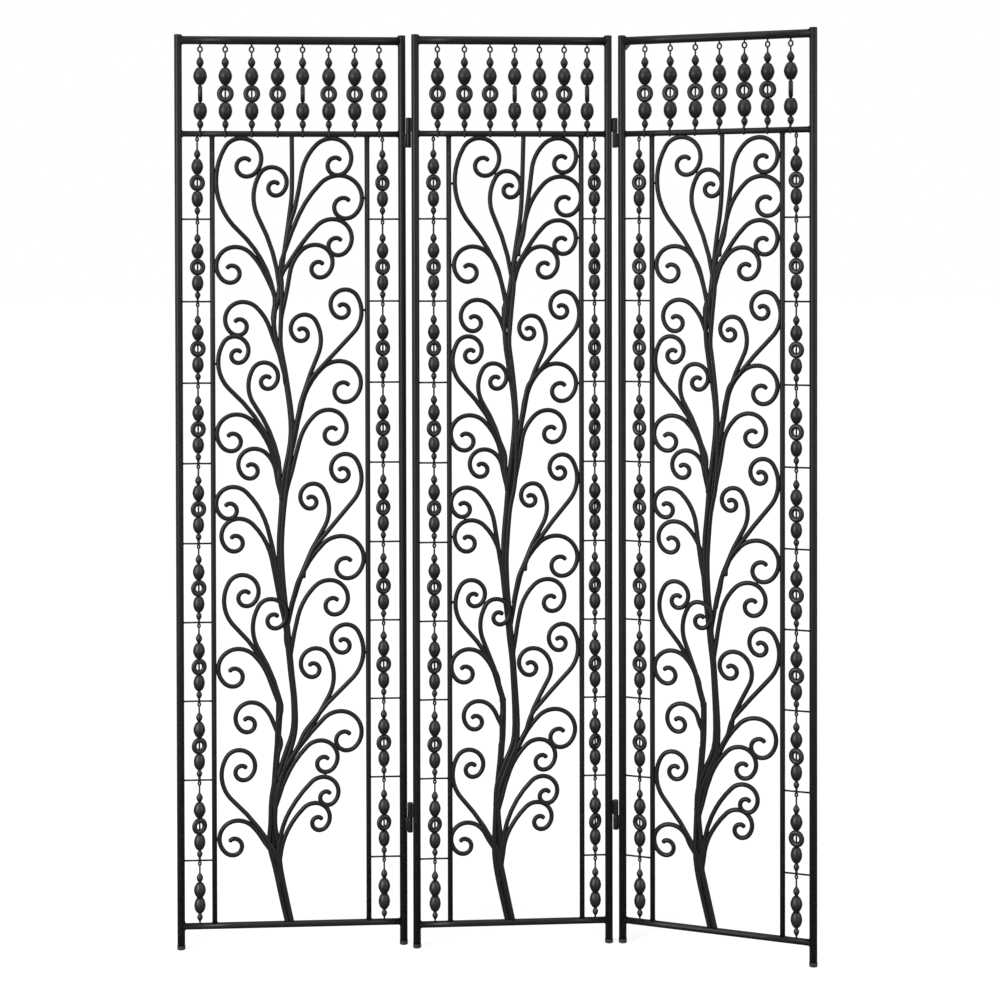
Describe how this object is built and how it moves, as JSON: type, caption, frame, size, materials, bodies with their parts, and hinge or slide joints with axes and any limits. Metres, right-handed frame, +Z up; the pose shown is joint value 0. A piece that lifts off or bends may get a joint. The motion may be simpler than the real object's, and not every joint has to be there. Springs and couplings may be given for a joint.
{
  "type": "folding screen",
  "caption": "Tall folding screen of welded dark metal bar: hinged leaves with a tree of scrollwork between columns of strung beads and a band of larger beads along the top.",
  "frame": {"origin": "centre of the bounding box's underside, on the floor", "axes": "+X along the screen to the viewer's right, +Y to the back, +Z up"},
  "size_m": [1.2312, 0.1546, 1.78],
  "materials": {
    "frame_coat": "satin powder coat",
    "rod_coat": "satin powder coat",
    "scroll_coat": "satin powder coat over hand-bent bar",
    "bead_coat": "satin powder coat",
    "hinge_coat": "satin powder coat",
    "foot_rubber": "matte",
    "pin_steel": "drawn steel"
  },
  "bodies": {
    "middle_leaf": {"middle_leaf_left_post": "frame_coat", "middle_leaf_right_post": "frame_coat", "middle_leaf_top_rail": "frame_coat", "middle_leaf_middle_rail": "frame_coat", "middle_leaf_bottom_rail": "frame_coat", "middle_leaf_left_upright": "frame_coat", "middle_leaf_right_upright": "frame_coat", "middle_leaf_left_cross_rods": "rod_coat", "middle_leaf_right_cross_rods": "rod_coat", "middle_leaf_stem": "scroll_coat", "middle_leaf_left_scrolls": "scroll_coat", "middle_leaf_right_scrolls": "scroll_coat", "middle_leaf_bead_wires": "rod_coat", "middle_leaf_top_beads": "bead_coat", "middle_leaf_left_column_beads": "bead_coat", "middle_leaf_right_column_beads": "bead_coat", "middle_leaf_foot_caps": "foot_rubber", "left_hinge_upper_barrels": "hinge_coat", "left_hinge_pins": "pin_steel", "right_hinge_upper_barrels": "hinge_coat", "right_hinge_pins": "pin_steel"},
    "left_leaf": {"left_leaf_left_post": "frame_coat", "left_leaf_right_post": "frame_coat", "left_leaf_top_rail": "frame_coat", "left_leaf_middle_rail": "frame_coat", "left_leaf_bottom_rail": "frame_coat", "left_leaf_left_upright": "frame_coat", "left_leaf_right_upright": "frame_coat", "left_leaf_left_cross_rods": "rod_coat", "left_leaf_right_cross_rods": "rod_coat", "left_leaf_stem": "scroll_coat", "left_leaf_left_scrolls": "scroll_coat", "left_leaf_right_scrolls": "scroll_coat", "left_leaf_bead_wires": "rod_coat", "left_leaf_top_beads": "bead_coat", "left_leaf_left_column_beads": "bead_coat", "left_leaf_right_column_beads": "bead_coat", "left_leaf_foot_caps": "foot_rubber", "left_hinge_lower_barrels": "hinge_coat"},
    "right_leaf": {"right_leaf_left_post": "frame_coat", "right_leaf_right_post": "frame_coat", "right_leaf_top_rail": "frame_coat", "right_leaf_middle_rail": "frame_coat", "right_leaf_bottom_rail": "frame_coat", "right_leaf_left_upright": "frame_coat", "right_leaf_right_upright": "frame_coat", "right_leaf_left_cross_rods": "rod_coat", "right_leaf_right_cross_rods": "rod_coat", "right_leaf_stem": "scroll_coat", "right_leaf_left_scrolls": "scroll_coat", "right_leaf_right_scrolls": "scroll_coat", "right_leaf_bead_wires": "rod_coat", "right_leaf_top_beads": "bead_coat", "right_leaf_left_column_beads": "bead_coat", "right_leaf_right_column_beads": "bead_coat", "right_leaf_foot_caps": "foot_rubber", "right_hinge_lower_barrels": "hinge_coat", "right_leaf_corner_gusset": "frame_coat"}
  },
  "joints": [
    {"name": "left_leaf_fold", "type": "hinge", "parent": "middle_leaf", "child": "left_leaf", "pos_m": [-0.16206, 0.0464, 0.252], "axis": [0, 0, 1], "range_deg": [-115, 115]},
    {"name": "right_leaf_fold", "type": "hinge", "parent": "middle_leaf", "child": "right_leaf", "pos_m": [0.24103, 0.0627, 0.252], "axis": [0, 0, 1], "range_deg": [-100, 100]}
  ]
}
